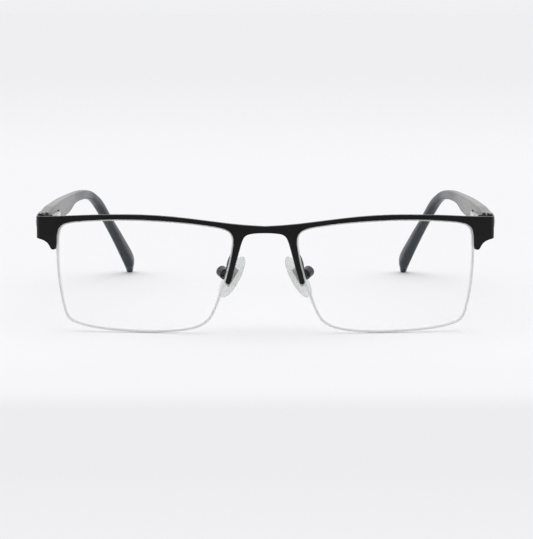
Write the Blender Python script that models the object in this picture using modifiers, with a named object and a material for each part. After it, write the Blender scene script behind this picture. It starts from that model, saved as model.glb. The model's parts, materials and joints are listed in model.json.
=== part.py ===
"""Half rim eyeglasses: a metal brow front, two lenses on nylon cords, nose pads and sprung temples.

X runs across the face, Y runs from the bridge back to the ears, Z is up. The origin lies under the
middle of the object, at the height of the surface on which lenses and temple tips rest. Lengths are
millimetres until world() turns them into metres. Depth is the distance behind the plane of the
bridge. Each side piece is made for the wearer's left, at +X, and mirrored for the wearer's right.
"""

import math

import bmesh
import bpy
import numpy as np
from mathutils import Matrix, Vector

MM = 0.001
HALF_DEPTH = 68.9  # half of the depth from the front of the lenses to the temple tips
WELD = 0.000002  # metres; far below every gap in the model
ROUND = 20  # sides of a small cylinder

# The front: a sheet of one thickness, bowed like the lenses and leaning back from the brow
SHEET = 1.6  # thickness
SHEET_FRONT = -0.05  # the sheet's front face stands this far before the lens's front face
LENS_CENTRE = (36.0, 17.0)
BASE_RADIUS = 130.0  # bow of lens and brow bar
FACE_FORM = math.tan(math.radians(5))  # how each half swings back towards the temple
LEAN = math.tan(math.radians(4))  # the lens's lower edge lies behind its upper edge
BROW_Z = 35.0
NOSE_X = 9.0  # inside this distance the bar is the bridge
FOLD_X = 70.45  # where the endpiece starts to turn back
FOLD_RADIUS = 1.9
FOLD_ANGLE = math.radians(70.5)

# The lens outline, from the brow outwards, down, along the lower edge and up beside the nose
LENS_POINTS = [
    (33.5, 35.6), (43.4, 35.85), (51.5, 35.55), (57.5, 35.05), (61.0, 34.55), (63.3, 33.75),
    (64.5, 32.5), (65.0, 30.8), (65.2, 28.0), (65.25, 24.5), (65.05, 18.5), (64.4, 12.6),
    (63.5, 7.8), (62.75, 5.2), (61.4, 3.4), (58.8, 2.3), (52.4, 1.12), (45.0, 0.55),
    (37.0, 0.345), (30.0, 0.55), (24.0, 1.2), (20.2, 2.35), (17.55, 4.35), (15.85, 7.35),
    (14.0, 12.2), (12.5, 16.0), (11.5, 19.5), (10.6, 23.2), (10.0, 26.6), (9.75, 28.9),
    (10.05, 30.8), (11.2, 32.3), (13.4, 33.25), (17.5, 34.05), (25.0, 35.0),
]
LENS_STEPS = 2  # points of the outline for each span between the points above
LENS_THICKNESS = 1.5
LENS_GAP = 0.04  # between the lens's edge and the frame
GROOVE_Y = 0.75  # the groove's middle, behind the lens's front face
GROOVE_RADIUS = 0.42
LINER_RADIUS = 0.35
CORD_RADIUS = 0.34

# The brow bar's upper edge, from the bridge to the endpiece
BROW_TOP = [
    (0.0, 33.65), (5.1, 33.95), (11.3, 34.6), (18.7, 35.6), (28.5, 36.75),
    (38.4, 37.3), (45.9, 37.25), (53.5, 37.0), (59.9, 36.6), (65.0, 36.25), (70.0, 36.0),
]
# The endpiece's lower edge with its lobe beside the lens, and the rounded end of the nose arm
ENDPIECE_LOWER = [
    (71.3, 29.1), (70.1, 28.85), (68.3, 27.95), (67.5, 26.9), (66.95, 26.0), (66.3, 25.75),
    (65.75, 26.05), (65.45, 27.0),
]
NOSE_ARM_EDGE = [
    (12.3, 16.4), (11.95, 15.85), (11.4, 15.7), (10.85, 15.95), (10.6, 16.6), (10.1, 18.6),
    (9.35, 21.3), (8.6, 24.2), (7.85, 26.9), (7.25, 28.8), (6.6, 30.15), (5.6, 31.0),
    (3.9, 31.4), (1.4, 31.57), (0.0, 31.6),
]
WALL_END = 75.1  # flat length of the endpiece up to the rear edge of its side wall
WALL_TOP, WALL_BOTTOM = 35.85, 29.5

# The cord's ends turn through holes in the lobe and in the nose arm
LOBE_HOLE_Z, NOSE_HOLE_Z = 27.3, 17.6
CORD_HOLE_RADIUS = 0.42
HOLE_CLEARANCE = 0.72  # cord and liner leave the outline this far below and above a hole

# The hinge
HINGE_X, HINGE_DEPTH, HINGE_Z = 70.5, 14.6, 33.9
KNUCKLE_RADIUS = 1.1
EYE_HALF = 0.95
KNUCKLE_OUTER = 2.35
HINGE_GAP = 0.05
HOLE_RADIUS, SCREW_RADIUS = 0.65, 0.6
SCREW_HEAD_RADIUS, SCREW_HEAD = 0.95, 0.45
ROD_IN, ROD_RADIUS = 2.7, 0.5  # the rod's distance inwards from the axis
BORE_RADIUS = 0.95
HOUSING_HALF = 1.7
HOUSING_START, HOUSING_END = 2.6, 17.4  # distances behind the axis
BORE_END = 12.2
STOP_START, STOP_LENGTH = 10.2, 0.8
BUSH_START, BUSH_LENGTH = 2.75, 1.1
SPRING_TURNS, SPRING_RADIUS, SPRING_WIRE = 6.0, 0.72, 0.11
RIVETS = (13.9, 16.1)  # behind the axis
RIVET_RADIUS, RIVET_HOLE_RADIUS = 0.45, 0.5
TAIL_IN = 2.5  # the tail's face, inwards from the axis

# Temple sections: depth, height, tall, tilt in degrees, distance outwards, thickness, crown of the
# outer face, and how square the section is (2 is an ellipse)
TEMPLE = [
    (13.25, 33.55, 5.1, 0, 70.1, 3.4, 0.3, 7.0), (15.6, 33.63, 5.45, 0, 70.4, 3.6, 0.5, 7.0),
    (19.0, 33.84, 5.95, 0, 69.95, 3.5, 0.5, 7.0), (24.0, 34.4, 6.3, 0, 69.5, 3.4, 0.5, 7.0),
    (30.0, 34.58, 6.45, 0, 69.05, 3.3, 0.5, 7.0), (42.0, 34.96, 6.2, 0, 68.3, 3.05, 0.4, 7.0),
    (56.0, 35.04, 5.6, 0, 67.55, 2.9, 0.35, 6.0), (66.0, 35.63, 3.86, 0, 66.97, 2.82, 0.3, 5.0),
    (80.0, 35.53, 3.33, 3, 65.42, 2.76, 0.25, 4.0), (91.0, 34.45, 3.16, 8, 64.3, 2.59, 0.2, 3.2),
    (99.0, 32.45, 3.33, 23, 62.91, 2.88, 0.2, 2.8), (106.0, 28.97, 3.8, 35, 61.37, 3.45, 0.2, 2.6),
    (114.0, 22.49, 3.59, 41, 59.0, 3.46, 0.2, 2.6), (124.0, 13.36, 4.76, 42, 55.63, 3.73, 0.2, 2.8),
    (132.0, 5.2, 5.4, 43, 52.88, 3.95, 0.2, 3.0), (134.6, 2.5, 4.1, 50, 52.78, 3.1, 0.15, 2.6),
    (136.2, 0.1, 2.7, 60, 52.74, 2.0, 0.1, 2.4),
]
TEMPLE_TURNS = (0, 30, 45, 60, 90, 120, 135, 150, 180, 210, 225, 240, 270, 300, 315, 330)
TEMPLE_STEPS = 3
POCKET_X = 71.7  # the temple's outer skin starts here beside the knuckles
POCKET_END = 16.4
RECESS_X = 69.35  # floor of the recess that holds the hinge's housing
RECESS_END = 32.6

# The nose pads
PAD_CENTRE = (10.4, 9.5, 16.9)
PAD_TILT, PAD_SPLAY = math.radians(30.4), math.radians(32.2)
PAD_LENGTH, PAD_WIDTH, PAD_THICKNESS = 14.6, 7.8, 2.7
PIVOT_OUT = 3.0  # from the pad's middle plane to its screw
DRUM_OUT, DRUM_RADIUS = 0.75, 1.8  # the box is a slotted drum, centred this far outside the screw
BOX_WIDTH, BOX_CHEEK = 2.7, 0.65
PAD_ARM = [
    (9.55, 3.3, 25.1), (10.2, 3.9, 24.7), (11.0, 4.6, 23.2), (11.5, 5.0, 21.6), (11.7, 5.15, 20.0),
    (11.8, 5.1, 18.6),
]
ARM_FOOT = (-0.8, -1.1)  # where the arm meets the drum's front cheek: up the pad, and inwards
PAD_ARM_RADIUS = 0.5


def clear_scene():
    for old in list(bpy.data.objects):
        bpy.data.objects.remove(old, do_unlink=True)


def new_collection(name):
    made = bpy.data.collections.new(name)
    bpy.context.scene.collection.children.link(made)
    return made


def material(name, colour, roughness, metallic=0.0, alpha=1.0):
    made = bpy.data.materials.new(name)
    made.use_nodes = True
    shader = made.node_tree.nodes["Principled BSDF"]
    shader.inputs["Base Color"].default_value = (*colour, 1.0)
    shader.inputs["Roughness"].default_value = roughness
    shader.inputs["Metallic"].default_value = metallic
    shader.inputs["Alpha"].default_value = alpha
    return made


clear_scene()
PARTS = new_collection("half_rim_eyeglasses")
CUTTERS = new_collection("cutters")
BLACK = material("black_enamel", (0.014, 0.014, 0.013), 0.35, 0.2)
GUNMETAL = material("gunmetal", (0.07, 0.075, 0.08), 0.32, 0.9)
NICKEL = material("nickel", (0.72, 0.70, 0.66), 0.25, 1.0)
STEEL = material("screw_steel", (0.45, 0.45, 0.45), 0.3, 1.0)
TEMPLE_PLASTIC = material("charcoal_plastic", (0.045, 0.05, 0.055), 0.3)
LENS = material("clear_lens", (0.95, 0.97, 0.97), 0.03, 0.0, 0.2)
CLEAR_NYLON = material("clear_nylon", (0.78, 0.79, 0.78), 0.3, 0.0, 0.7)
BLACK_NYLON = material("black_nylon", (0.02, 0.02, 0.02), 0.5)
SILICONE = material("silicone", (0.80, 0.83, 0.81), 0.25, 0.0, 0.6)
PAD_PLASTIC = material("pad_plastic", (0.45, 0.47, 0.48), 0.4)


# ---------------------------------------------------------------- shapes

def world(x, depth, z):
    return Vector((x, depth - HALF_DEPTH, z)) * MM


def spline(points, steps, closed=False):
    """Points of a smooth curve through the given ones, with the tangents of a Catmull-Rom spline."""
    given = np.array(points, float)
    count = len(given)
    if closed:
        before, after = np.roll(given, 1, axis=0), np.roll(given, -1, axis=0)
    else:
        before = np.vstack([given[:1], given[:-1]])
        after = np.vstack([given[1:], given[-1:]])
    back = np.linalg.norm(given - before, axis=1)[:, None] + 1e-9
    ahead = np.linalg.norm(after - given, axis=1)[:, None] + 1e-9
    slope = ((given - before) / back * ahead + (after - given) / ahead * back) / (back + ahead)
    made = []
    for i in range(count if closed else count - 1):
        j = (i + 1) % count
        span = np.linalg.norm(given[j] - given[i])
        for t in np.arange(steps) / steps:
            a, b = 2 * t**3 - 3 * t**2 + 1, t**3 - 2 * t**2 + t
            bend = b * slope[i] + (t**3 - t**2) * slope[j]
            made.append(a * given[i] + (1 - a) * given[j] + span * bend)
    if not closed:
        made.append(given[-1])
    return made


def offset(outline, distance):
    """A clockwise closed outline, moved outwards."""
    ring = np.array(outline, float)
    along = np.roll(ring, -1, axis=0) - np.roll(ring, 1, axis=0)
    along /= np.linalg.norm(along, axis=1)[:, None]
    return ring + distance * np.column_stack([-along[:, 1], along[:, 0]])


def keep(name, mesh, look, group=None):
    made = bpy.data.objects.new(name, mesh)
    (group or PARTS).objects.link(made)
    mesh.materials.clear()
    mesh.materials.append(look)
    mesh.shade_smooth()
    mesh.set_sharp_from_angle(angle=math.radians(35))
    return made


def finish(name, bm, look):
    bmesh.ops.remove_doubles(bm, verts=bm.verts, dist=WELD)
    bmesh.ops.recalc_face_normals(bm, faces=bm.faces)
    mesh = bpy.data.meshes.new(name)
    bm.to_mesh(mesh)
    bm.free()
    return keep(name, mesh, look)


def box(name, low, high, look=BLACK):
    """An upright box between two corners, each as (x, depth, z)."""
    bm = bmesh.new()
    a, b = world(*low), world(*high)
    place = Matrix.Translation((a + b) / 2) @ Matrix.Diagonal((b - a).to_4d())
    bmesh.ops.create_cube(bm, size=1.0, matrix=place)
    return finish(name, bm, look)


def rod(name, start, end, radius, look=BLACK, sides=ROUND):
    """A cylinder between two points, each as a vector in metres."""
    bm = bmesh.new()
    turn = (end - start).to_track_quat("Z", "Y").to_matrix().to_4x4()
    place = Matrix.Translation((start + end) / 2) @ turn
    bmesh.ops.create_cone(
        bm, cap_ends=True, segments=sides, radius1=radius * MM, radius2=radius * MM,
        depth=(end - start).length, matrix=place,
    )
    return finish(name, bm, look)


def bake(thing, name=None):
    """Replaces an object by a plain mesh of what it looks like, in world space."""
    graph = bpy.context.evaluated_depsgraph_get()
    mesh = bpy.data.meshes.new_from_object(thing.evaluated_get(graph))
    bm = bmesh.new()
    bm.from_mesh(mesh)
    bpy.data.meshes.remove(mesh)
    bm.transform(thing.matrix_world)
    look = thing.data.materials[0]
    name = name or thing.name
    bpy.data.objects.remove(thing, do_unlink=True)
    return finish(name, bm, look)


def plate(name, outline, low, high, place, look=BLACK):
    """A flat outline, filled and extruded from low to high along the third axis of place."""
    curve = bpy.data.curves.new(name, "CURVE")
    curve.dimensions = "2D"
    curve.fill_mode = "BOTH"
    curve.extrude = (high - low) / 2 * MM
    line = curve.splines.new("POLY")
    line.points.add(len(outline) - 1)
    for point, (u, v) in zip(line.points, outline):
        point.co = (u * MM, v * MM, 0, 1)
    line.use_cyclic_u = True
    curve.materials.append(look)
    made = bpy.data.objects.new(name, curve)
    PARTS.objects.link(made)
    made.matrix_world = place @ Matrix.Translation((0, 0, (low + high) / 2 * MM))
    bpy.context.view_layer.update()
    return bake(made)


def wire(name, points, radius, look, closed=False, resolution=2):
    """A round tube through points in metres."""
    curve = bpy.data.curves.new(name, "CURVE")
    curve.dimensions = "3D"
    curve.bevel_depth = radius * MM
    curve.bevel_resolution = resolution
    curve.use_fill_caps = not closed
    line = curve.splines.new("POLY")
    line.points.add(len(points) - 1)
    for point, place in zip(line.points, points):
        point.co = (*place, 1)
    line.use_cyclic_u = closed
    curve.materials.append(look)
    made = bpy.data.objects.new(name, curve)
    PARTS.objects.link(made)
    return bake(made)


def loft(name, rings, look, middles=None):
    """Rings of equally many points joined in turn; the ends are closed flat or to a middle point."""
    bm = bmesh.new()
    rows = [[bm.verts.new(place) for place in ring] for ring in rings]
    for near, far in zip(rows, rows[1:]):
        for i in range(len(near)):
            j = (i + 1) % len(near)
            bm.faces.new((near[i], near[j], far[j], far[i]))
    for row, middle in zip((rows[0], rows[-1]), middles or (None, None)):
        if middle is None:
            bm.faces.new(row)
            continue
        hub = bm.verts.new(middle)
        for i, corner in enumerate(row):
            bm.faces.new((corner, row[(i + 1) % len(row)], hub))
    return finish(name, bm, look)


def combine(target, tool, operation):
    """A live Boolean whose tool is kept, hidden, among the cutters."""
    step = target.modifiers.new(tool.name, "BOOLEAN")
    step.operation = operation
    step.object = tool
    PARTS.objects.unlink(tool)
    CUTTERS.objects.link(tool)
    tool.hide_render = True
    tool.display_type = "WIRE"


def settle(target):
    """Applies a target's Booleans and removes their tools."""
    tools = [step.object for step in target.modifiers]
    name = target.name
    made = bake(target)
    made.name = name
    for tool in tools:
        bpy.data.objects.remove(tool, do_unlink=True)
    return made


def other_side(thing):
    """The mirrored piece for the wearer's right."""
    bm = bmesh.new()
    bm.from_mesh(thing.data)
    bmesh.ops.scale(bm, vec=(-1, 1, 1), verts=bm.verts)
    return finish(thing.name[:-1] + "r", bm, thing.data.materials[0])


# ---------------------------------------------------------------- the front's bow

def surface(x, z):
    """Depth and sideways slope of the lens's front face at x and z."""
    side = max(abs(x), NOSE_X)
    depth = (side - LENS_CENTRE[0]) ** 2 / (2 * BASE_RADIUS) + FACE_FORM * (side - LENS_CENTRE[0])
    slope = (side - LENS_CENTRE[0]) / BASE_RADIUS + FACE_FORM
    if abs(x) < NOSE_X:
        depth -= slope * NOSE_X / 2 * (1 - (x / NOSE_X) ** 2)
        slope *= abs(x) / NOSE_X
    depth += (z - LENS_CENTRE[1]) ** 2 / (2 * BASE_RADIUS) + LEAN * (BROW_Z - z)
    return depth, math.copysign(slope, x)


def bowed(x, y, z):
    """The place of a flat point: x and z on the lens's front face, y behind it."""
    flat_x = min(abs(x), FOLD_X)
    depth, slope = surface(flat_x, z)
    start = math.atan(slope)
    here = np.array([flat_x, depth])
    if abs(x) > FOLD_X:
        turn = min((abs(x) - FOLD_X) / FOLD_RADIUS, FOLD_ANGLE)
        centre = here + FOLD_RADIUS * np.array([-math.sin(start), math.cos(start)])
        start += turn
        normal = np.array([-math.sin(start), math.cos(start)])
        rest = abs(x) - FOLD_X - turn * FOLD_RADIUS
        here = centre - FOLD_RADIUS * normal + rest * np.array([math.cos(start), math.sin(start)])
    here = here + y * np.array([-math.sin(start), math.cos(start)])
    return world(math.copysign(here[0], x), here[1], z)


def bow(thing):
    """Bows a flat mesh whose points are (x, y, z) in metres."""
    for vertex in thing.data.vertices:
        vertex.co = bowed(*(vertex.co / MM))
    thing.data.update()


def ready_to_bow(thing, across, upwards):
    """Opens a flat half at X = 0 and gives it edges where it has to bend."""
    bm = bmesh.new()
    bm.from_mesh(thing.data)
    middle = [face for face in bm.faces if all(abs(corner.co.x) < WELD for corner in face.verts)]
    bmesh.ops.delete(bm, geom=middle, context="FACES_ONLY")
    cuts = [(Vector((1, 0, 0)), x) for x in across] + [(Vector((0, 0, 1)), z) for z in upwards]
    for normal, place in cuts:
        everything = bm.verts[:] + bm.edges[:] + bm.faces[:]
        middle = normal * place * MM
        bmesh.ops.bisect_plane(bm, geom=everything, plane_co=middle, plane_no=normal, dist=WELD)
    bm.to_mesh(thing.data)
    bm.free()


FLAT = Matrix.Rotation(math.radians(90), 4, "X")  # outline (u, v) to (x, z); extrudes towards -Y
LENS_OUTLINE = spline(LENS_POINTS, LENS_STEPS, closed=True)


def front_frame():
    """Brow bar, bridge, nose arms and turned endpieces, stamped from one sheet."""
    inner = [(63.6, 27.0), (63.0, 31.5), (57.0, 33.9), (43.0, 34.6), (20.0, 33.0), (12.6, 31.0),
             (11.6, 27.0), (13.4, 19.0), (14.2, 16.4)]
    outline = spline(BROW_TOP, 2)
    outline += [(WALL_END - 0.4, WALL_TOP), (WALL_END, WALL_TOP - 0.4)]
    outline += [(WALL_END, WALL_BOTTOM + 0.4), (WALL_END - 0.4, WALL_BOTTOM)]
    outline += spline(ENDPIECE_LOWER, 2)
    outline += inner
    outline += spline(NOSE_ARM_EDGE, 2)
    back = -(SHEET_FRONT + SHEET)
    half = plate("front_frame", outline, back, -SHEET_FRONT, FLAT)
    window = plate("window", offset(LENS_OUTLINE, LENS_GAP), -3.0, 1.5, FLAT)
    combine(half, window, "DIFFERENCE")
    half = settle(half)
    line = [Vector((x, GROOVE_Y, z)) * MM for x, z in offset(LENS_OUTLINE, LENS_GAP / 2)]
    channel = wire("channel", line, GROOVE_RADIUS, BLACK, closed=True, resolution=1)
    combine(half, channel, "DIFFERENCE")
    half = settle(half)
    holes = ("lobe_hole", 64.5, 70.0, LOBE_HOLE_Z), ("nose_hole", 9.0, 12.5, NOSE_HOLE_Z)
    for name, low, high, z in holes:
        ends = [Vector((x, GROOVE_Y, z)) * MM for x in (low, high)]
        combine(half, rod(name, *ends, CORD_HOLE_RADIUS, sides=8), "DIFFERENCE")
        half = settle(half)
    folds = [FOLD_X + FOLD_RADIUS * FOLD_ANGLE * part / 4 for part in range(5)]
    ready_to_bow(half, [*range(5, 70, 5), *folds], (20.0, 25.0, 30.0))
    bow(half)
    mirror = half.modifiers.new("both_halves", "MIRROR")
    mirror.merge_threshold = WELD
    return half


def lenses():
    """A bowed lens with flat polished edge and a groove all round."""
    centre = np.array(LENS_CENTRE)
    rows = []
    deep = LENS_GAP / 2 - GROOVE_RADIUS
    profile = [
        (0.3, 0.0), (0.65, 0.0), (0.0, 0.0), (0.0, GROOVE_Y - GROOVE_RADIUS),
        (deep, GROOVE_Y - GROOVE_RADIUS / 2), (deep, GROOVE_Y + GROOVE_RADIUS / 2),
        (0.0, GROOVE_Y + GROOVE_RADIUS), (0.0, LENS_THICKNESS),
        (0.65, LENS_THICKNESS), (0.3, LENS_THICKNESS),
    ]
    for shift, y in profile:
        if shift > 0:
            ring = [centre + shift * (np.array(place) - centre) for place in LENS_OUTLINE]
        else:
            ring = offset(LENS_OUTLINE, shift)
        rows.append([bowed(x, y, z) for x, z in ring])
    middles = [bowed(*(LENS_CENTRE[0], y, LENS_CENTRE[1])) for y in (0.0, LENS_THICKNESS)]
    left = loft("lens_l", rows, LENS, middles)
    return left, other_side(left)


def offset_open(line, distance):
    """An open line moved to its left side, seen along the line's run."""
    places = np.array(line, float)
    along = np.gradient(places, axis=0)
    along /= np.linalg.norm(along, axis=1)[:, None]
    return places + distance * np.column_stack([-along[:, 1], along[:, 0]])


def split_outline():
    """The lens outline beside the frame, from nose arm to lobe, and the rest, from lobe to nose arm."""
    upper, lower = [], []
    lowest = min(range(len(LENS_OUTLINE)), key=lambda i: LENS_OUTLINE[i][1])
    from_lowest = LENS_OUTLINE[lowest:] + LENS_OUTLINE[:lowest]
    for place in from_lowest:
        hole = NOSE_HOLE_Z if place[0] < LENS_CENTRE[0] else LOBE_HOLE_Z
        if place[1] > hole + HOLE_CLEARANCE:
            upper.append(place)
        if place[1] < hole - HOLE_CLEARANCE:
            lower.append(place)
    start = max(range(len(lower)), key=lambda i: (lower[i][0] > LENS_CENTRE[0], lower[i][1]))
    return upper, lower[start:] + lower[:start]


def liners():
    """The nylon strip in the frame's channel, from the nose arm over the brow to the lobe."""
    upper = split_outline()[0]
    line = [bowed(x, GROOVE_Y, z) for x, z in offset_open(upper, LENS_GAP / 2)]
    left = wire("upper_liner_l", line, LINER_RADIUS, BLACK_NYLON, resolution=1)
    return left, other_side(left)


def cords():
    """The nylon cord round the lower edge; each end turns through a hole in the frame."""
    lower = split_outline()[1]
    start = [(67.3, 0), (65.75, 0), (65.35, -0.12), (65.2, -0.5)]
    end = [(12.1, -0.5), (11.95, -0.1), (11.6, 0), (10.55, 0)]
    line = [(x, LOBE_HOLE_Z + z) for x, z in start] + lower + [(x, NOSE_HOLE_Z + z) for x, z in end]
    left = wire("nylon_cord_l", [bowed(x, GROOVE_Y, z) for x, z in line], CORD_RADIUS, CLEAR_NYLON)
    return left, other_side(left)


# ---------------------------------------------------------------- nose pads

def pad_place(along, across, towards):
    """World place of a point of the pad's own frame: up its length, back across it, towards the nose."""
    turn = Matrix.Rotation(-PAD_TILT, 3, "Y") @ Matrix.Rotation(-PAD_SPLAY, 3, "Z")
    return world(*PAD_CENTRE) + turn @ (Vector((-towards, across, along)) * MM)


def pad_matrix():
    turn = Matrix.Rotation(-PAD_TILT, 4, "Y") @ Matrix.Rotation(-PAD_SPLAY, 4, "Z")
    return Matrix.Translation(world(*PAD_CENTRE)) @ turn


def pad_box_solid(name, along, across, towards, look):
    """A box in the pad's own frame, from three (low, high) pairs."""
    bm = bmesh.new()
    spans = (towards, across, along)
    size = Vector([high - low for low, high in spans]) * MM
    middle = Vector([(high + low) / 2 for low, high in spans]) * MM
    middle.x = -middle.x
    place = pad_matrix() @ Matrix.Translation(middle) @ Matrix.Diagonal(size.to_4d())
    bmesh.ops.create_cube(bm, size=1.0, matrix=place)
    return finish(name, bm, look)


def nose_pads():
    """Soft pads, each moulded round a stiff core whose lug pivots in a box on the pad arm."""
    rings = []
    for part, across, depth in (
        (-0.92, 0.50, 0.45), (-0.6, 0.88, 0.85), (-0.2, 1.0, 1.0), (0.25, 0.94, 1.0),
        (0.65, 0.72, 0.82), (0.92, 0.36, 0.42),
    ):
        ring = []
        for k in range(12):
            angle = math.tau * k / 12
            u = across * PAD_WIDTH / 2 * math.cos(angle)
            w = depth * PAD_THICKNESS / 2 * math.sin(angle)
            flat = 0.62 if w < 0 else 1.0
            ring.append(pad_place(part * PAD_LENGTH / 2, u, w * flat))
        rings.append(ring)
    tips = [pad_place(part * PAD_LENGTH / 2, 0, 0) for part in (-1, 1)]
    pad = loft("nose_pad_l", rings, SILICONE, tips)
    pocket = pad_box_solid("pad_pocket", (-3.1, 3.1), (-1.6, 1.6), (-2.0, -0.1), SILICONE)
    combine(pad, pocket, "DIFFERENCE")
    pad = settle(pad)
    core = pad_box_solid("pad_core_l", (-3.0, 3.0), (-1.5, 1.5), (-0.75, -0.2), PAD_PLASTIC)
    lug = pad_box_solid("lug", (-0.6, 0.6), (-0.6, 0.6), (-PIVOT_OUT - 0.6, -0.5), PAD_PLASTIC)
    combine(core, lug, "UNION")
    core = settle(core)
    ends = [pad_place(0, across, -PIVOT_OUT) for across in (-1.5, 1.5)]
    combine(core, rod("lug_hole", *ends, 0.4, sides=12), "DIFFERENCE")
    core = settle(core)
    half = BOX_WIDTH / 2
    middle = -PIVOT_OUT - DRUM_OUT
    ends = [pad_place(0, across, middle) for across in (-half, half)]
    shell = rod("pad_box_l", *ends, DRUM_RADIUS, GUNMETAL)
    inside = half - BOX_CHEEK
    slot = pad_box_solid("slot", (-3, 3), (-inside, inside), (-PIVOT_OUT - 0.85, 0), GUNMETAL)
    combine(shell, slot, "DIFFERENCE")
    shell = settle(shell)
    ends = [pad_place(0, across, -PIVOT_OUT) for across in (-3, 3)]
    combine(shell, rod("box_hole", *ends, 0.38, sides=12), "DIFFERENCE")
    shell = settle(shell)
    ends = [pad_place(0, across, -PIVOT_OUT) for across in (-half, half + 0.2)]
    screw = rod("pad_screw_l", *ends, 0.34, STEEL, sides=12)
    ends = [pad_place(0, across, -PIVOT_OUT) for across in (half + 0.03, half + 0.38)]
    combine(screw, rod("pad_screw_head", *ends, 0.62, STEEL, sides=12), "UNION")
    screw = settle(screw)
    foot, inwards = ARM_FOOT
    turned = [pad_place(foot, -half - gap, middle + inwards + DRUM_OUT) for gap in (1.0, 0.04)]
    line = [world(*place) for place in PAD_ARM] + turned
    line = [Vector(place) for place in spline(line, 2)]
    arm = wire("pad_arm_l", line, PAD_ARM_RADIUS, GUNMETAL)
    made = {"pad": pad, "core": core, "box": shell, "screw": screw, "arm": arm}
    return made, {kind: other_side(piece) for kind, piece in made.items()}


# ---------------------------------------------------------------- hinge and temple

def hinge(inwards, behind, z):
    """World place of a point beside the hinge's axis."""
    return world(HINGE_X - inwards, HINGE_DEPTH + behind, z)


def hinge_block(name, inwards, behind, z, look):
    """A box beside the hinge's axis, from three (low, high) pairs."""
    low = (HINGE_X - inwards[1], HINGE_DEPTH + behind[0], z[0])
    high = (HINGE_X - inwards[0], HINGE_DEPTH + behind[1], z[1])
    return box(name, low, high, look)


def hinge_leaf():
    """The front's leaf: a plate brazed inside the side wall, with an upper and a lower knuckle."""
    low, high = HINGE_Z - KNUCKLE_OUTER, HINGE_Z + KNUCKLE_OUTER
    leaf = hinge_block("hinge_leaf_l", (0.35, 1.05), (-3.6, -2.3), (low, high), BLACK)
    for name, start, end in (
        ("upper", HINGE_Z + EYE_HALF + HINGE_GAP, high), ("lower", low, HINGE_Z - EYE_HALF - HINGE_GAP),
    ):
        arm = hinge_block(name + "_arm", (0.35, 1.05), (-2.5, 0.0), (start, end), BLACK)
        combine(leaf, arm, "UNION")
        leaf = settle(leaf)
        barrel = rod(name + "_barrel", hinge(0, 0, start), hinge(0, 0, end), KNUCKLE_RADIUS, BLACK)
        combine(leaf, barrel, "UNION")
        leaf = settle(leaf)
    drill = rod("leaf_hole", hinge(0, 0, low - 1), hinge(0, 0, high + 1), HOLE_RADIUS, BLACK)
    combine(leaf, drill, "DIFFERENCE")
    return settle(leaf)


def hinge_screw():
    """A slotted screw down through the knuckles and the eye."""
    high = HINGE_Z + KNUCKLE_OUTER + 0.02
    ends = [hinge(0, 0, z) for z in (HINGE_Z - KNUCKLE_OUTER, high + 0.2)]
    screw = rod("hinge_screw_l", *ends, SCREW_RADIUS, STEEL)
    ends = [hinge(0, 0, z) for z in (high, high + SCREW_HEAD)]
    combine(screw, rod("screw_head", *ends, SCREW_HEAD_RADIUS, STEEL), "UNION")
    screw = settle(screw)
    slot = hinge_block("slot", (-2, 2), (-0.12, 0.12), (high + SCREW_HEAD - 0.22, high + 2), STEEL)
    combine(screw, slot, "DIFFERENCE")
    return settle(screw)


def hinge_slider():
    """The eye on the screw, its neck and the rod that the spring pulls on."""
    low, high = HINGE_Z - EYE_HALF, HINGE_Z + EYE_HALF
    slider = rod("hinge_slider_l", hinge(0, 0, low), hinge(0, 0, high), KNUCKLE_RADIUS, NICKEL)
    behind = HOUSING_START - 0.06
    neck = [(-0.1, 0.9), (0.75, -0.6), (3.35, 1.75), (3.35, behind), (2.05, behind)]
    turned = [(-u, v) for u, v in neck]
    place = Matrix.Translation(hinge(0, 0, HINGE_Z))
    bridge = plate("neck", turned, 0.1 - EYE_HALF, EYE_HALF - 0.1, place, NICKEL)
    combine(slider, bridge, "UNION")
    slider = settle(slider)
    ends = [hinge(ROD_IN, behind, HINGE_Z) for behind in (2.0, STOP_START + STOP_LENGTH)]
    shaft = rod("shaft", *ends, ROD_RADIUS, NICKEL)
    combine(slider, shaft, "UNION")
    slider = settle(slider)
    drill = rod("eye_hole", hinge(0, 0, low - 1), hinge(0, 0, high + 1), HOLE_RADIUS, NICKEL)
    combine(slider, drill, "DIFFERENCE")
    return settle(slider)


def sleeve(name, start, length, outer, inner, look):
    """A ring round the rod."""
    ring = rod(name, hinge(ROD_IN, start, HINGE_Z), hinge(ROD_IN, start + length, HINGE_Z), outer, look)
    ends = hinge(ROD_IN, start - 1, HINGE_Z), hinge(ROD_IN, start + length + 1, HINGE_Z)
    combine(ring, rod("ring_hole", *ends, inner, look), "DIFFERENCE")
    return settle(ring)


def spring():
    """The coil between the bush and the stop."""
    start, end = BUSH_START + BUSH_LENGTH + SPRING_WIRE + 0.03, STOP_START - SPRING_WIRE - 0.03
    points = []
    steps = int(SPRING_TURNS * 8)
    for k in range(steps + 1):
        angle = math.tau * k / 8
        along = start + (end - start) * k / steps
        inwards = ROD_IN + SPRING_RADIUS * math.cos(angle)
        points.append(hinge(inwards, along, HINGE_Z + SPRING_RADIUS * math.sin(angle)))
    return wire("hinge_spring_l", points, SPRING_WIRE, STEEL, resolution=1)


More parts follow.
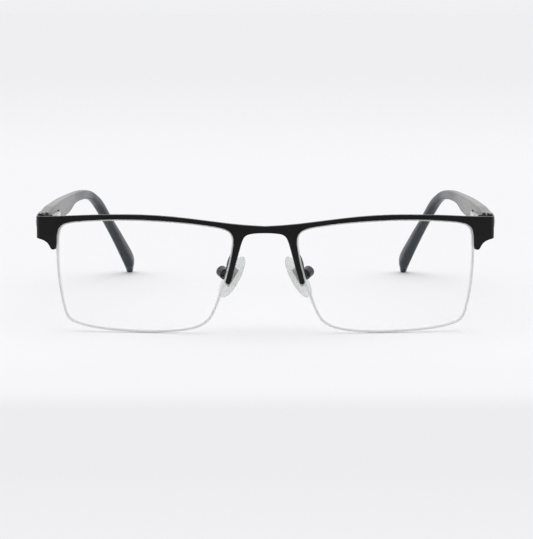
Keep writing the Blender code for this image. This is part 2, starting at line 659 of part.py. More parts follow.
def housing():
    """The sprung half's casing: a bored block with a thin tail for its two rivets."""
    inside, face = HINGE_X - RECESS_X + 0.05, 4.4
    profile = [
        (inside, HOUSING_START), (face - 1.4, HOUSING_START), (face, HOUSING_START + 1.4),
        (face, BORE_END - 0.6), (face - 0.5, BORE_END + 0.2), (TAIL_IN, BORE_END + 0.7),
        (TAIL_IN, HOUSING_END - 0.4), (TAIL_IN - 0.4, HOUSING_END), (inside, HOUSING_END),
    ]
    turned = [(-u, v) for u, v in profile]
    place = Matrix.Translation(hinge(0, 0, HINGE_Z))
    case = plate("hinge_housing_l", turned, -HOUSING_HALF, HOUSING_HALF, place, NICKEL)
    bore = rod("bore", hinge(ROD_IN, 1, HINGE_Z), hinge(ROD_IN, BORE_END, HINGE_Z), BORE_RADIUS, NICKEL)
    combine(case, bore, "DIFFERENCE")
    case = settle(case)
    for along in RIVETS:
        ends = [hinge(inwards, along, HINGE_Z) for inwards in (0, 6)]
        drill = rod("rivet_hole", *ends, RIVET_HOLE_RADIUS, NICKEL, sides=12)
        combine(case, drill, "DIFFERENCE")
        case = settle(case)
    return case


def rivet(name, along):
    """A round-headed rivet through the housing's tail into the temple."""
    ends = [hinge(inwards, along, HINGE_Z) for inwards in (-0.4, TAIL_IN + 0.1)]
    shank = rod(name, *ends, RIVET_RADIUS, NICKEL, sides=12)
    ends = [hinge(TAIL_IN + inwards, along, HINGE_Z) for inwards in (0.03, 0.38)]
    combine(shank, rod("rivet_head", *ends, 0.8, NICKEL, sides=12), "UNION")
    return settle(shank)


def temple():
    """Arm, ear bend and flattened tip, with a pocket for the knuckles and a recess for the housing."""
    rings = []
    for depth, z, tall, tilt, out, thick, crown, square in spline(TEMPLE, TEMPLE_STEPS):
        lean = math.radians(tilt)
        ring = []
        for turn in TEMPLE_TURNS:
            up, side = math.cos(math.radians(turn)), math.sin(math.radians(turn))
            h = math.copysign(abs(up) ** (2 / square), up)
            s = math.copysign(abs(side) ** (2 / square), side) * thick / 2
            if side > 0:
                s += crown * (1 - h * h)
            h *= tall / 2
            ring.append(world(out + s, depth + h * math.sin(lean), z + h * math.cos(lean)))
        rings.append(ring)
    arm = loft("temple_l", rings, TEMPLE_PLASTIC)
    bm = bmesh.new()
    bm.from_mesh(arm.data)
    everything = bm.verts[:] + bm.edges[:] + bm.faces[:]
    up = (0, 0, 1)
    cut = bmesh.ops.bisect_plane(bm, geom=everything, plane_co=(0, 0, 0), plane_no=up, clear_inner=True)
    rim = [item for item in cut["geom_cut"] if isinstance(item, bmesh.types.BMEdge)]
    bmesh.ops.contextual_create(bm, geom=rim)
    bmesh.ops.recalc_face_normals(bm, faces=bm.faces)
    bm.to_mesh(arm.data)
    bm.free()
    pocket = box("pocket", (60, 5, 25), (POCKET_X, POCKET_END, 45))
    combine(arm, pocket, "DIFFERENCE")
    arm = settle(arm)
    wide = HOUSING_HALF + 0.06
    recess = box("recess", (60, 5, HINGE_Z - wide), (RECESS_X, RECESS_END, HINGE_Z + wide))
    combine(arm, recess, "DIFFERENCE")
    arm = settle(arm)
    for along in RIVETS:
        ends = [hinge(inwards, along, HINGE_Z) for inwards in (-0.6, 3)]
        drill = rod("rivet_socket", *ends, RIVET_HOLE_RADIUS, sides=12)
        combine(arm, drill, "DIFFERENCE")
        arm = settle(arm)
    return arm


def side_pieces():
    """The wearer's left temple and hinge, then the right ones, by name without the side letter."""
    left = [
        hinge_leaf(), hinge_screw(), hinge_slider(),
        sleeve("hinge_bush_l", BUSH_START, BUSH_LENGTH, BORE_RADIUS - 0.04, ROD_RADIUS + 0.04, NICKEL),
        sleeve("rod_stop_l", STOP_START, STOP_LENGTH, BORE_RADIUS - 0.09, ROD_RADIUS + 0.03, STEEL),
        spring(), housing(), rivet("front_rivet_l", RIVETS[0]), rivet("rear_rivet_l", RIVETS[1]), temple(),
    ]
    return left, [other_side(piece) for piece in left]


def axis_at(name, place, pieces):
    """Hangs moving pieces on an empty that stands on their joint's axis."""
    empty = bpy.data.objects.new(name, None)
    PARTS.objects.link(empty)
    empty.location = place
    bpy.context.view_layer.update()
    for piece in pieces:
        piece.parent = empty
        piece.matrix_parent_inverse = empty.matrix_world.inverted()


def mirrored(place):
    return Vector((-place.x, place.y, place.z))


def build():
    front_frame()
    lenses()
    liners()
    cords()
    pads = nose_pads()
    pivot = pad_place(0, 0, -PIVOT_OUT)
    for letter, made, place in (("l", pads[0], pivot), ("r", pads[1], mirrored(pivot))):
        axis_at("pad_pivot_" + letter, place, [made["pad"], made["core"]])
    fixed_on_front = 2
    axis = hinge(0, 0, HINGE_Z)
    for letter, made, place in zip("lr", side_pieces(), (axis, mirrored(axis))):
        axis_at("temple_axis_" + letter, place, made[fixed_on_front:])


build()
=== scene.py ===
"""Looks of the half rim eyeglasses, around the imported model. Metres, same axes as the model."""

import json
import math

import bmesh
import bpy
import numpy as np
from mathutils import Matrix, Vector

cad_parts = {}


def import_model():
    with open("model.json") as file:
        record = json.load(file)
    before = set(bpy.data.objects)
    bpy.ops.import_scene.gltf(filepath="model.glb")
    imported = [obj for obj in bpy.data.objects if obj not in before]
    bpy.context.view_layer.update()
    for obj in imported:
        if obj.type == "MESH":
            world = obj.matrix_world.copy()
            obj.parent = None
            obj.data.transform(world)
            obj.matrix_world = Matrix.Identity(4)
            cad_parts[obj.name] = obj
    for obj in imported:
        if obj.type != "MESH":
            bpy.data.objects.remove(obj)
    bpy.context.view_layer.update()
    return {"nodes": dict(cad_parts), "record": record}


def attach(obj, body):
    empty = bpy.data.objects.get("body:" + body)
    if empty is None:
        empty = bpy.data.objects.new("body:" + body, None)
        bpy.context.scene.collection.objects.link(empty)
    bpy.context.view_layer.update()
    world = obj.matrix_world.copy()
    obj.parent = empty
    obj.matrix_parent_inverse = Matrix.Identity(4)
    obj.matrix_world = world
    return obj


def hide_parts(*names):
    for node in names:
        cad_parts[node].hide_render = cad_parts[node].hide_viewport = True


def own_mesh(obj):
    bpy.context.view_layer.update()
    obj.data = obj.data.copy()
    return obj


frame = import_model()

MM = 0.001
HALF_DEPTH = 68.9  # half of the depth from the front of the lenses to the temple tips
SIDES = (("l", 1), ("r", -1))

# The front's surface, as in the model
LENS_CENTRE = (36.0, 17.0)
BASE_RADIUS = 130.0
FACE_FORM = math.tan(math.radians(5))
LEAN = math.tan(math.radians(4))
BROW_Z = 35.0
NOSE_X = 9.0
# These points began as measured positions and were corrected
LENS_POINTS = [
    (33.5, 35.6), (43.4, 35.85), (51.5, 35.55), (57.5, 35.05), (61.0, 34.55), (63.3, 33.75),
    (64.5, 32.5), (65.0, 30.8), (65.2, 28.0), (65.25, 24.5), (65.05, 18.5), (64.4, 12.6),
    (63.5, 7.8), (62.75, 5.2), (61.4, 3.4), (58.8, 2.3), (52.4, 1.12), (45.0, 0.55),
    (37.0, 0.345), (30.0, 0.55), (24.0, 1.2), (20.2, 2.35), (17.55, 4.35), (15.85, 7.35),
    (14.0, 12.2), (12.5, 16.0), (11.5, 19.5), (10.6, 23.2), (10.0, 26.6), (9.75, 28.9),
    (10.05, 30.8), (11.2, 32.3), (13.4, 33.25), (17.5, 34.05), (25.0, 35.0),
]
LENS_STEPS = 5
LENS_THICKNESS = 1.5
LENS_FACE_RINGS = [0.25, 0.5, 0.75, 0.93]  # parts of the way from the centre to the edge
LENS_BEVEL, LENS_BEVEL_DEPTH, LENS_EDGE_IN = 0.42, 0.16, 0.01
GROOVE_Y = 0.75
GROOVE_HALF, GROOVE_FLOOR_HALF, GROOVE_FLOOR_IN = 0.42, 0.21, 0.39

# Temple sections: depth, height, tall, tilt in degrees, distance outwards, thickness, crown of the
# outer face, and how square the section is (2 is an ellipse). Most of these numbers were fitted by
# another program, which is not how such a table should be made; report.md lists them.
TEMPLE = [
    (13.25, 33.55, 5.1, 0, 70.1, 3.4, 0.3, 7.0), (15.6, 33.63, 5.45, 0, 70.4, 3.6, 0.5, 7.0),
    (19.0, 33.84, 5.95, 0, 69.95, 3.5, 0.5, 7.0), (24.0, 34.4, 6.3, 0, 69.5, 3.4, 0.5, 7.0),
    (30.0, 34.58, 6.45, 0, 69.05, 3.3, 0.5, 7.0), (42.0, 34.96, 6.2, 0, 68.3, 3.05, 0.4, 7.0),
    (56.0, 35.04, 5.6, 0, 67.55, 2.9, 0.35, 6.0), (66.0, 35.63, 3.86, 0, 66.97, 2.82, 0.3, 5.0),
    (80.0, 35.53, 3.33, 3, 65.42, 2.76, 0.25, 4.0), (91.0, 34.45, 3.16, 8, 64.3, 2.59, 0.2, 3.2),
    (99.0, 32.45, 3.33, 23, 62.91, 2.88, 0.2, 2.8), (106.0, 28.97, 3.8, 35, 61.37, 3.45, 0.2, 2.6),
    (114.0, 22.49, 3.59, 41, 59.0, 3.46, 0.2, 2.6), (124.0, 13.36, 4.76, 42, 55.63, 3.73, 0.2, 2.8),
    (132.0, 5.2, 5.4, 43, 52.88, 3.95, 0.2, 3.0), (134.6, 2.5, 4.1, 50, 52.78, 3.1, 0.15, 2.6),
    (136.2, 0.1, 2.7, 60, 52.74, 2.0, 0.1, 2.4),
]
TEMPLE_SIDES, TEMPLE_STEPS = 44, 7
PAINTED_SHEEN_START, PAINTED_SHEEN_END = 46.0, 86.0  # depths over which a painted sheen, lighter grey at the front, gives way to the temple's own dark grey
HINGE_Z = 33.9
POCKET_X, POCKET_END = 71.7, 16.4
RECESS_X, RECESS_END, RECESS_HALF = 69.35, 32.6, 1.76

# The hinge's coil: its middle line outwards and its ends in depth
COIL_X, COIL_START, COIL_END = 67.8, 18.59, 24.66
COIL_RADIUS, COIL_WIRE = 0.72, 0.11
COIL_TURNS, COIL_STEPS, COIL_SIDES = 6.0, 20, 10

# The nose pads, whose centre, angles and size were found by a search, and their sections: part of
# the length, breadth, depth
PAD_CENTRE = (10.4, 9.5, 16.9)
PAD_TILT, PAD_SPLAY = math.radians(30.4), math.radians(32.2)
PAD_LENGTH, PAD_WIDTH, PAD_THICKNESS = 14.6, 7.8, 2.7
PAD_BACK = 0.62  # the pad's back is flatter than its face
PAD_SECTIONS = [
    (-0.99, 0.14, 0.12), (-0.92, 0.50, 0.45), (-0.6, 0.88, 0.85), (-0.2, 1.0, 1.0),
    (0.25, 0.94, 1.0), (0.65, 0.72, 0.82), (0.92, 0.36, 0.42), (0.99, 0.10, 0.12),
]
PAD_SIDES, PAD_STEPS = 36, 4
CORE_FRONT, CORE_BACK, CORE_HALF_WIDTH, CORE_HALF_LENGTH = 0.1, 2.0, 1.6, 3.1  # hollow for the core

# Rounded edges of carried-over nodes, in millimetres
EDGE_RADII = {
    "front_frame": 0.18, "hinge_leaf": 0.1, "hinge_screw": 0.05, "hinge_slider": 0.08, "pad_box": 0.1,
    "hinge_housing": 0.12, "front_rivet": 0.1, "rear_rivet": 0.1, "pad_screw": 0.06,
}

# Camera
CAMERA_PLACE = (2.2, -543.0, 99.3)  # x, depth, z in millimetres
CAMERA_PITCH, CAMERA_TURN = 8.25, 0.187  # degrees down, degrees to the left
FOCAL_LENGTH, SENSOR = 118.6, 36.0

# Stage
FLOOR_SIZE = 120.0
FLOOR_DROP = 0.00002  # just under the lowest point
PANEL_POWER = 0.8
TENT_FRONT, TENT_HORIZON, TENT_TOP = 0.3, 0.885, 1.5
FLOOR_TINT = (1.0, 0.999, 1.006)
# Metres behind the middle of the object, and grey; tuned to a wanted background. The greys are painted light
# and shade: brightest in a band round the object, which lifts its soft shadow, and darker near the camera and
# far back.
FLOOR_PAINTED_GREYS = [
    (-0.28, 0.735), (-0.23, 0.712), (-0.172, 0.712), (-0.152, 0.783), (-0.125, 0.79), (-0.08, 0.82),
    (-0.045, 0.82), (0.03, 0.79), (0.2, 0.785), (0.57, 0.792), (1.02, 0.774), (1.39, 0.764), (2.2, 0.75),
]


# ---------------------------------------------------------------- node helpers

def socket_value(node, name, value):
    node.inputs[name].default_value = value


def new_material(name):
    made = bpy.data.materials.new(name)
    made.use_nodes = True
    tree = made.node_tree
    return made, tree, tree.nodes["Principled BSDF"]


def add(tree, kind, **inputs):
    """A node with its socket values set by name; spaces in names are written as underscores."""
    node = tree.nodes.new("ShaderNode" + kind)
    for name, value in inputs.items():
        node.inputs[name.replace("_", " ")].default_value = value
    return node


def place_of(tree, scale=(1.0, 1.0, 1.0)):
    """Object coordinates in millimetres, stretched."""
    coords = add(tree, "TexCoord")
    mapping = add(tree, "Mapping")
    mapping.inputs["Scale"].default_value = [1000 * s for s in scale]
    tree.links.new(coords.outputs["Object"], mapping.inputs["Vector"])
    return mapping.outputs["Vector"]


def noise(tree, vector, scale, detail=3.0, roughness=0.55):
    node = add(tree, "TexNoise", Scale=scale, Detail=detail, Roughness=roughness)
    tree.links.new(vector, node.inputs["Vector"])
    return node.outputs["Fac"]


def ramp(tree, factor, stops):
    """A colour ramp from (position, colour) pairs."""
    node = tree.nodes.new("ShaderNodeValToRGB")
    elements = node.color_ramp.elements
    while len(elements) < len(stops):
        elements.new(0.5)
    for element, (position, colour) in zip(elements, stops):
        element.position = position
        element.color = (*colour, 1.0)
    tree.links.new(factor, node.inputs["Fac"])
    return node.outputs["Color"]


def span(tree, factor, low, high, start=0.0, end=1.0):
    """Maps a factor's run from start to end onto low to high."""
    node = add(tree, "MapRange", From_Min=start, From_Max=end, To_Min=low, To_Max=high)
    tree.links.new(factor, node.inputs["Value"])
    return node.outputs["Result"]


def bump(tree, shader, height, strength, distance):
    node = add(tree, "Bump", Strength=strength, Distance=distance)
    tree.links.new(height, node.inputs["Height"])
    tree.links.new(node.outputs["Normal"], shader.inputs["Normal"])


def weighted(tree, pairs):
    """A weighted sum of factors."""
    total = None
    for factor, weight in pairs:
        node = tree.nodes.new("ShaderNodeMath")
        node.operation = "MULTIPLY_ADD"
        tree.links.new(factor, node.inputs[0])
        node.inputs[1].default_value = weight
        if total is None:
            node.inputs[2].default_value = 0.0
        else:
            tree.links.new(total, node.inputs[2])
        total = node.outputs[0]
    return total


# ---------------------------------------------------------------- materials

def enamel(name, dark, light, rough, specular):
    """Baked satin coating on metal: fine orange peel, tiny specks and a little handling haze."""
    made, tree, shader = new_material(name)
    where = place_of(tree)
    broad = noise(tree, where, 0.25, 3.0)
    fine = noise(tree, where, 6.0, 4.0, 0.6)
    colour = ramp(tree, weighted(tree, [(broad, 0.6), (fine, 0.4)]), [(0.3, dark), (0.7, light)])
    tree.links.new(colour, shader.inputs["Base Color"])
    tree.links.new(span(tree, broad, rough - 0.05, rough + 0.07, 0.3, 0.7), shader.inputs["Roughness"])
    socket_value(shader, "Specular IOR Level", specular)
    bump(tree, shader, fine, 0.12, 0.00002)
    return made


def metal(name, dark, light, rough, stretch=(1.0, 1.0, 1.0), strength=0.25):
    """Bare metal with fine drawn or tumbled marks."""
    made, tree, shader = new_material(name)
    where = place_of(tree, stretch)
    marks = noise(tree, where, 5.0, 5.0, 0.65)
    blotch = noise(tree, place_of(tree), 0.6, 2.0)
    colour = ramp(tree, weighted(tree, [(marks, 0.5), (blotch, 0.5)]), [(0.35, dark), (0.65, light)])
    tree.links.new(colour, shader.inputs["Base Color"])
    tree.links.new(span(tree, marks, rough - 0.07, rough + 0.1, 0.3, 0.7), shader.inputs["Roughness"])
    socket_value(shader, "Metallic", 1.0)
    bump(tree, shader, marks, strength, 0.00002)
    return made


def mould_flow(tree):
    """Faint mottling, drawn out along the arm."""
    return noise(tree, place_of(tree, (0.12, 0.02, 0.12)), 1.0, 3.0, 0.5)


def scuffed(tree, shader, rough):
    """Very fine scuffs in the gloss and surface of a moulded plastic."""
    scuffs = noise(tree, place_of(tree, (0.6, 0.1, 0.6)), 2.0, 3.0, 0.5)
    tree.links.new(span(tree, scuffs, rough - 0.02, rough + 0.03, 0.3, 0.7), shader.inputs["Roughness"])
    socket_value(shader, "IOR", 1.5)
    bump(tree, shader, scuffs, 0.01, 0.00001)


def plastic(name, dark, light, rough):
    """Moulded plastic with faint mottling and very fine scuffs."""
    made, tree, shader = new_material(name)
    flow = mould_flow(tree)
    tree.links.new(ramp(tree, flow, [(0.3, dark), (0.72, light)]), shader.inputs["Base Color"])
    scuffed(tree, shader, rough)
    return made


def sheen_painted_plastic(name, front, rear, rough):
    """The temples' plastic with a painted sheen: a lighter grey painted on from the hinge stands in for
    reflected light. It deepens into the plastic's own dark slate by the ear bend, where the gloss also dulls.
    """
    made, tree, shader = new_material(name)
    split = add(tree, "SeparateXYZ")
    tree.links.new(place_of(tree), split.inputs["Vector"])
    flow = mould_flow(tree)
    along = span(tree, split.outputs["Y"], 0.0, 1.0, PAINTED_SHEEN_START - HALF_DEPTH, PAINTED_SHEEN_END - HALF_DEPTH)
    sheen_fade = weighted(tree, [(along, 0.9), (flow, 0.1)])
    # painted sheen: the lighter front grey stands in for reflected light, the rear grey is the plastic's own
    tree.links.new(ramp(tree, sheen_fade, [(0.05, front), (0.95, rear)]), shader.inputs["Base Color"])
    tree.links.new(span(tree, along, 0.5, 0.25), shader.inputs["Specular IOR Level"])
    scuffed(tree, shader, rough)
    return made


def see_through(name, colour, rough, facing, edge_on, power, mottle=0.0, ior=1.5):
    """A clear piece: nearly nothing face on, more of it at its rims, which are looked along."""
    made, tree, shader = new_material(name)
    where = place_of(tree)
    grain = noise(tree, where, 0.8, 4.0)
    shades = [tuple(c * (1 - mottle) for c in colour), colour]
    tree.links.new(ramp(tree, grain, [(0.35, shades[0]), (0.65, shades[1])]), shader.inputs["Base Color"])
    weight = add(tree, "LayerWeight", Blend=power)
    tree.links.new(span(tree, weight.outputs["Facing"], facing, edge_on), shader.inputs["Alpha"])
    tree.links.new(span(tree, grain, rough, rough + 0.06, 0.3, 0.7), shader.inputs["Roughness"])
    socket_value(shader, "IOR", ior)
    bump(tree, shader, grain, 0.05, 0.00002)
    return made


def make_materials():
    return {
        "black_enamel": enamel(
            "black_enamel_look", (0.003, 0.0034, 0.0032), (0.006, 0.0065, 0.0062), 0.36, 0.2
        ),
        "gunmetal": metal("gunmetal_look", (0.035, 0.038, 0.043), (0.07, 0.075, 0.082), 0.34),
        "nickel": metal("nickel_look", (0.60, 0.59, 0.56), (0.76, 0.75, 0.72), 0.24, (1.0, 0.2, 1.0), 0.1),
        "screw_steel": metal("screw_steel_look", (0.30, 0.30, 0.31), (0.5, 0.5, 0.51), 0.28, (1.0, 1.0, 4.0)),
        # the first grey is a painted sheen near the hinge, the second the temples' own dark slate
        "charcoal_plastic": sheen_painted_plastic(
            "charcoal_plastic_look", (0.112, 0.112, 0.104), (0.016, 0.022, 0.029), 0.24
        ),
        "clear_lens": see_through("clear_lens_look", (0.93, 0.95, 0.955), 0.03, 0.008, 0.10, 0.25),
        "lens_edge": see_through("lens_edge_look", (0.88, 0.89, 0.87), 0.35, 0.4, 0.75, 0.5, 0.05),
        "clear_nylon": see_through("clear_nylon_look", (0.90, 0.90, 0.875), 0.3, 0.78, 0.88, 0.5, 0.04),
        "black_nylon": plastic("black_nylon_look", (0.012, 0.012, 0.012), (0.028, 0.028, 0.028), 0.45),
        "silicone": see_through("silicone_look", (0.62, 0.66, 0.63), 0.14, 0.13, 0.8, 0.4, 0.12, 1.43),
        "pad_plastic": plastic("pad_plastic_look", (0.34, 0.37, 0.36), (0.42, 0.45, 0.44), 0.35),
    }


# ---------------------------------------------------------------- shapes

def world(x, depth, z):
    return Vector((x, depth - HALF_DEPTH, z)) * MM


def spline(points, steps, closed=False):
    """Points of a smooth curve through the given ones, with the tangents of a Catmull-Rom spline."""
    given = np.array(points, float)
    count = len(given)
    if closed:
        before, after = np.roll(given, 1, axis=0), np.roll(given, -1, axis=0)
    else:
        before = np.vstack([given[:1], given[:-1]])
        after = np.vstack([given[1:], given[-1:]])
    back = np.linalg.norm(given - before, axis=1)[:, None] + 1e-9
    ahead = np.linalg.norm(after - given, axis=1)[:, None] + 1e-9
    slope = ((given - before) / back * ahead + (after - given) / ahead * back) / (back + ahead)
    made = []
    for i in range(count if closed else count - 1):
        j = (i + 1) % count
        run = np.linalg.norm(given[j] - given[i])
        for t in np.arange(steps) / steps:
            a, b = 2 * t**3 - 3 * t**2 + 1, t**3 - 2 * t**2 + t
            bend = b * slope[i] + (t**3 - t**2) * slope[j]
            made.append(a * given[i] + (1 - a) * given[j] + run * bend)
    if not closed:
        made.append(given[-1])
    return made


def offset(outline, distance):
    """A clockwise closed outline, moved outwards."""
    ring = np.array(outline, float)
    along = np.roll(ring, -1, axis=0) - np.roll(ring, 1, axis=0)
    along /= np.linalg.norm(along, axis=1)[:, None]
    return ring + distance * np.column_stack([-along[:, 1], along[:, 0]])


def bowed(x, y, z):
    """The place of a flat point: x and z on the lens's front face, y behind it."""
    side = max(abs(x), NOSE_X)
    depth = (side - LENS_CENTRE[0]) ** 2 / (2 * BASE_RADIUS) + FACE_FORM * (side - LENS_CENTRE[0])
    slope = (side - LENS_CENTRE[0]) / BASE_RADIUS + FACE_FORM
    if abs(x) < NOSE_X:
        depth -= slope * NOSE_X / 2 * (1 - (x / NOSE_X) ** 2)
        slope *= abs(x) / NOSE_X
    depth += (z - LENS_CENTRE[1]) ** 2 / (2 * BASE_RADIUS) + LEAN * (BROW_Z - z)
    lean = math.atan(slope)
    return world(math.copysign(abs(x) - y * math.sin(lean), x), depth + y * math.cos(lean), z)


def loft(name, rings, looks, bands=None, middles=None):
    """Rings of equally many points joined in turn; the ends are closed flat or to a middle point."""
    bm = bmesh.new()
    rows = [[bm.verts.new(place) for place in ring] for ring in rings]
    for band, (near, far) in enumerate(zip(rows, rows[1:])):
        for i in range(len(near)):
            j = (i + 1) % len(near)
            face = bm.faces.new((near[i], near[j], far[j], far[i]))
            face.material_index = bands[band] if bands else 0
    for row, middle in zip((rows[0], rows[-1]), middles or (None, None)):
        if middle is None:
            bm.faces.new(row)
            continue
        hub = bm.verts.new(middle)
        for i, corner in enumerate(row):
            bm.faces.new((corner, row[(i + 1) % len(row)], hub))
    bmesh.ops.recalc_face_normals(bm, faces=bm.faces)
    mesh = bpy.data.meshes.new(name)
    bm.to_mesh(mesh)
    bm.free()
    made = bpy.data.objects.new(name, mesh)
    bpy.context.scene.collection.objects.link(made)
    for look in looks:
        mesh.materials.append(look)
    mesh.shade_smooth()
    return made


def to_side(made, sign):
    """Mirrors a piece built for the wearer's left."""
    if sign < 0:
        made.data.transform(Matrix.Diagonal((-1, 1, 1, 1)))
        made.data.flip_normals()


def box(low, high, turn=None):
    """A cutter between two corners given in metres, optionally in a turned frame."""
    bm = bmesh.new()
    a, b = Vector(low), Vector(high)
    place = Matrix.Translation((a + b) / 2) @ Matrix.Diagonal((b - a).to_4d())
    bmesh.ops.create_cube(bm, size=1.0, matrix=(turn or Matrix()) @ place)
    mesh = bpy.data.meshes.new("cutter")
    bm.to_mesh(mesh)
    bm.free()
    made = bpy.data.objects.new("cutter", mesh)
    bpy.context.scene.collection.objects.link(made)
    return made


def cut(made, tools):
    """Cuts the tools out of a piece for good and removes them."""
    for tool in tools:
        step = made.modifiers.new("cut", "BOOLEAN")
        step.operation = "DIFFERENCE"
        step.object = tool
    graph = bpy.context.evaluated_depsgraph_get()
    mesh = bpy.data.meshes.new_from_object(made.evaluated_get(graph))
    made.modifiers.clear()
    made.data = mesh
    for tool in tools:
        bpy.data.objects.remove(tool, do_unlink=True)
    mesh.shade_smooth()


def stand_for(made, node, body, sharp):
    """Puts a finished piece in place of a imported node."""
    made.data.set_sharp_from_angle(angle=math.radians(sharp))
    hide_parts(node)
    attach(made, body)


def lens(side, sign):
    """A bowed lens: clear faces, a safety bevel and a satin grooved edge that carries the cord."""
    centre = np.array(LENS_CENTRE)
    outline = spline(LENS_POINTS, LENS_STEPS, closed=True)
    front, rear = GROOVE_Y - GROOVE_HALF, GROOVE_Y + GROOVE_HALF
    near, far = GROOVE_Y - GROOVE_FLOOR_HALF, GROOVE_Y + GROOVE_FLOOR_HALF
    profile = [(share, 0.0) for share in LENS_FACE_RINGS]
    profile += [(-LENS_BEVEL, 0.0), (-LENS_EDGE_IN, LENS_BEVEL_DEPTH), (-LENS_EDGE_IN, front)]
    profile += [(-GROOVE_FLOOR_IN, near), (-GROOVE_FLOOR_IN, far), (-LENS_EDGE_IN, rear)]
    profile += [(-LENS_EDGE_IN, LENS_THICKNESS - LENS_BEVEL_DEPTH), (-LENS_BEVEL, LENS_THICKNESS)]
    profile += [(share, LENS_THICKNESS) for share in reversed(LENS_FACE_RINGS)]
    rows = []
    for shift, y in profile:
        if shift > 0:
            ring = [centre + shift * (np.array(place) - centre) for place in outline]
        else:
            ring = offset(outline, shift)
        rows.append([bowed(x, y, z) for x, z in ring])
    middles = [bowed(LENS_CENTRE[0], y, LENS_CENTRE[1]) for y in (0.0, LENS_THICKNESS)]
    edge = range(len(LENS_FACE_RINGS), len(profile) - len(LENS_FACE_RINGS) - 1)
    bands = [1 if band in edge else 0 for band in range(len(rows) - 1)]
    made = loft("clear_lens_" + side, rows, [LOOKS["clear_lens"], LOOKS["lens_edge"]], bands, middles)
    to_side(made, sign)
    stand_for(made, "lens_" + side, "front", 40)


def temple(side, sign):
    """Arm, ear bend and tip with rounded sections, cut out for the knuckles and the housing."""
    rings = []
    for depth, z, tall, tilt, out, thick, crown, square in spline(TEMPLE, TEMPLE_STEPS):
        lean = math.radians(tilt)
        ring = []
        for k in range(TEMPLE_SIDES):
            up, across = math.cos(math.tau * k / TEMPLE_SIDES), math.sin(math.tau * k / TEMPLE_SIDES)
            h = math.copysign(abs(up) ** (2 / square), up)
            s = math.copysign(abs(across) ** (2 / square), across) * thick / 2
            if across > 0:
                s += crown * (1 - h * h)
            h *= tall / 2
            ring.append(world(out + s, depth + h * math.sin(lean), z + h * math.cos(lean)))
        rings.append(ring)
    made = loft("polished_temple_" + side, rings, [LOOKS["charcoal_plastic"]])
    below = box((0.03, 0.05, -0.01), (0.08, 0.08, 0.0))
    pocket = box(world(60, 5, 25), world(POCKET_X, POCKET_END, 45))
    recess = box(world(60, 5, HINGE_Z - RECESS_HALF), world(RECESS_X, RECESS_END, HINGE_Z + RECESS_HALF))
    cut(made, [below, pocket, recess])
    to_side(made, sign)
    stand_for(made, "temple_" + side, "temple_" + side, 38)


def coil(side, sign):
    """The hinge's spring, built as a fixed coil between its ends in depth."""
    rows = []
    for step in range(int(COIL_TURNS * COIL_STEPS) + 1):
        angle = math.tau * step / COIL_STEPS
        behind = COIL_START + (COIL_END - COIL_START) * step / (COIL_TURNS * COIL_STEPS)
        ring = []
        for k in range(COIL_SIDES):
            turn = math.tau * k / COIL_SIDES
            radius = COIL_RADIUS + COIL_WIRE * math.cos(turn)
            x, z = COIL_X - radius * math.cos(angle), HINGE_Z + radius * math.sin(angle)
            ring.append(world(x, behind + COIL_WIRE * math.sin(turn), z))
        rows.append(ring)
    made = loft("coil_spring_" + side, rows, [LOOKS["screw_steel"]])
    to_side(made, sign)
    stand_for(made, "hinge_spring_" + side, "temple_" + side, 60)
    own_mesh(made)


def pad_frame():
    """The pad's own frame: X away from the nose, Y back across the pad, Z up its length."""
    turn = Matrix.Rotation(-PAD_TILT, 4, "Y") @ Matrix.Rotation(-PAD_SPLAY, 4, "Z")
    return Matrix.Translation(world(*PAD_CENTRE)) @ turn


def nose_pad(side, sign):
    """A soft pad with a pillowed face, hollow behind for its core."""
    place = pad_frame()
    rings = []
    for part, across, depth in spline(PAD_SECTIONS, PAD_STEPS):
        ring = []
        for k in range(PAD_SIDES):
            angle = math.tau * k / PAD_SIDES
            u = across * PAD_WIDTH / 2 * math.cos(angle)
            w = depth * PAD_THICKNESS / 2 * math.sin(angle)
            if w < 0:
                w *= PAD_BACK
            ring.append(place @ (Vector((-w, u, part * PAD_LENGTH / 2)) * MM))
        rings.append(ring)
    tips = [place @ Vector((0, 0, part * PAD_LENGTH / 2 * MM)) for part in (-1, 1)]
    made = loft("soft_pad_" + side, rings, [LOOKS["silicone"]], None, tips)
    low = Vector((CORE_FRONT, -CORE_HALF_WIDTH, -CORE_HALF_LENGTH)) * MM
    high = Vector((CORE_BACK, CORE_HALF_WIDTH, CORE_HALF_LENGTH)) * MM
    pocket = box(low, high, place)
    cut(made, [pocket])
    to_side(made, sign)
    stand_for(made, "nose_pad_" + side, "pad_" + side, 50)


# ---------------------------------------------------------------- carried-over nodes

def dress_nodes():
    """Each kept node gets its slot's look, smooth shading and small radii along its edges."""
    slots = {part["node"]: part["material_slot"] for part in frame["record"]["subparts"]}
    for name, node in frame["nodes"].items():
        node.data.materials.clear()
        node.data.materials.append(LOOKS[slots[name]])
        node.data.shade_smooth()
        node.data.set_sharp_from_angle(angle=math.radians(32))
        kind = name if name == "front_frame" else name[:-2]
        if kind in EDGE_RADII:
            step = node.modifiers.new("edge_radius", "BEVEL")
            step.width = EDGE_RADII[kind] * MM
            step.segments = 2
            step.limit_method = "ANGLE"
            step.angle_limit = math.radians(38)
            step.harden_normals = True


# ---------------------------------------------------------------- stage

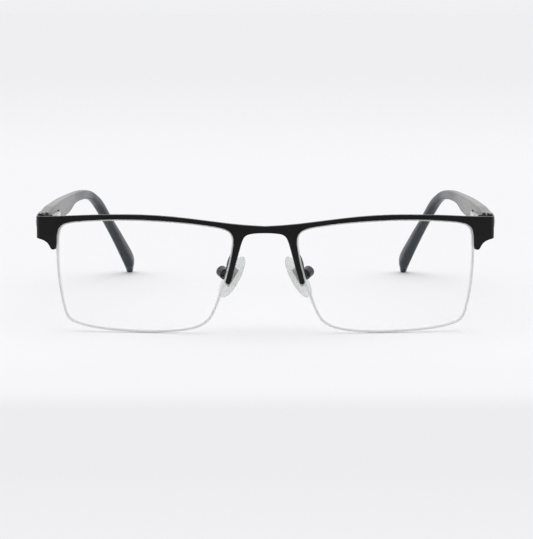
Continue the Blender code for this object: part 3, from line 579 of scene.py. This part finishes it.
def floor():
    """A pale sweep with painted light and shade along its depth, brightest round the object where it lifts
    the object's shadow.
    """
    made, tree, shader = new_material("stage_painted_light")
    coords = add(tree, "TexCoord")
    split = add(tree, "SeparateXYZ")
    tree.links.new(coords.outputs["Object"], split.inputs["Vector"])
    start, end = FLOOR_PAINTED_GREYS[0][0], FLOOR_PAINTED_GREYS[-1][0]
    depth = span(tree, split.outputs["Y"], 0.0, 1.0, start, end)
    # painted light and shade: the floor's grey changes with depth, brightest round the object
    stops = []
    for y, grey in FLOOR_PAINTED_GREYS:
        stops.append(((y - start) / (end - start), [grey * tint for tint in FLOOR_TINT]))
    colour = ramp(tree, depth, stops)
    tree.links.new(colour, shader.inputs["Base Color"])
    socket_value(shader, "Roughness", 0.9)
    socket_value(shader, "Specular IOR Level", 0.0)
    bpy.ops.mesh.primitive_plane_add(size=FLOOR_SIZE, location=(0, 0, -FLOOR_DROP))
    plane = bpy.context.object
    plane.name = "floor"
    plane.data.materials.append(made)


def area_light(name, place, aim, size, power, colour=(1.0, 1.0, 1.0)):
    lamp = bpy.data.lights.new(name, "AREA")
    lamp.shape = "RECTANGLE"
    lamp.size, lamp.size_y = size
    lamp.energy = power
    lamp.color = colour
    made = bpy.data.objects.new(name, lamp)
    made.location = place
    made.rotation_euler = (Vector(aim) - Vector(place)).to_track_quat("-Z", "Y").to_euler()
    bpy.context.scene.collection.objects.link(made)


def lights():
    """A bright tent that is darker behind the camera, and a soft panel overhead."""
    area_light("overhead", (0.0, 0.05, 1.2), (0, 0, 0), (1.1, 0.9), PANEL_POWER)
    sky = bpy.data.worlds.new("studio")
    bpy.context.scene.world = sky
    sky.use_nodes = True
    tree = sky.node_tree
    coords = add(tree, "TexCoord")
    split = add(tree, "SeparateXYZ")
    tree.links.new(coords.outputs["Generated"], split.inputs["Vector"])
    back = span(tree, split.outputs["Y"], TENT_FRONT, 1.0, -0.9, 0.1)
    up = span(tree, split.outputs["Z"], TENT_HORIZON, TENT_TOP, 0.0, 0.6)
    both = tree.nodes.new("ShaderNodeMath")
    both.operation = "MULTIPLY"
    tree.links.new(back, both.inputs[0])
    tree.links.new(up, both.inputs[1])
    glow = tree.nodes["Background"]
    glow.inputs["Color"].default_value = (0.985, 0.985, 1.0, 1.0)
    tree.links.new(both.outputs[0], glow.inputs["Strength"])
    bpy.context.scene.view_settings.view_transform = "Standard"


def camera():
    lens_data = bpy.data.cameras.new("camera")
    lens_data.lens = FOCAL_LENGTH
    lens_data.sensor_width = SENSOR
    made = bpy.data.objects.new("camera", lens_data)
    made.location = world(*CAMERA_PLACE)
    made.rotation_euler = (math.radians(90 - CAMERA_PITCH), 0, math.radians(CAMERA_TURN))
    bpy.context.scene.collection.objects.link(made)
    bpy.context.scene.camera = made


LOOKS = make_materials()
camera()
lights()
floor()
dress_nodes()
for side, sign in SIDES:
    lens(side, sign)
    temple(side, sign)
    coil(side, sign)
    nose_pad(side, sign)

bpy.context.view_layer.update()
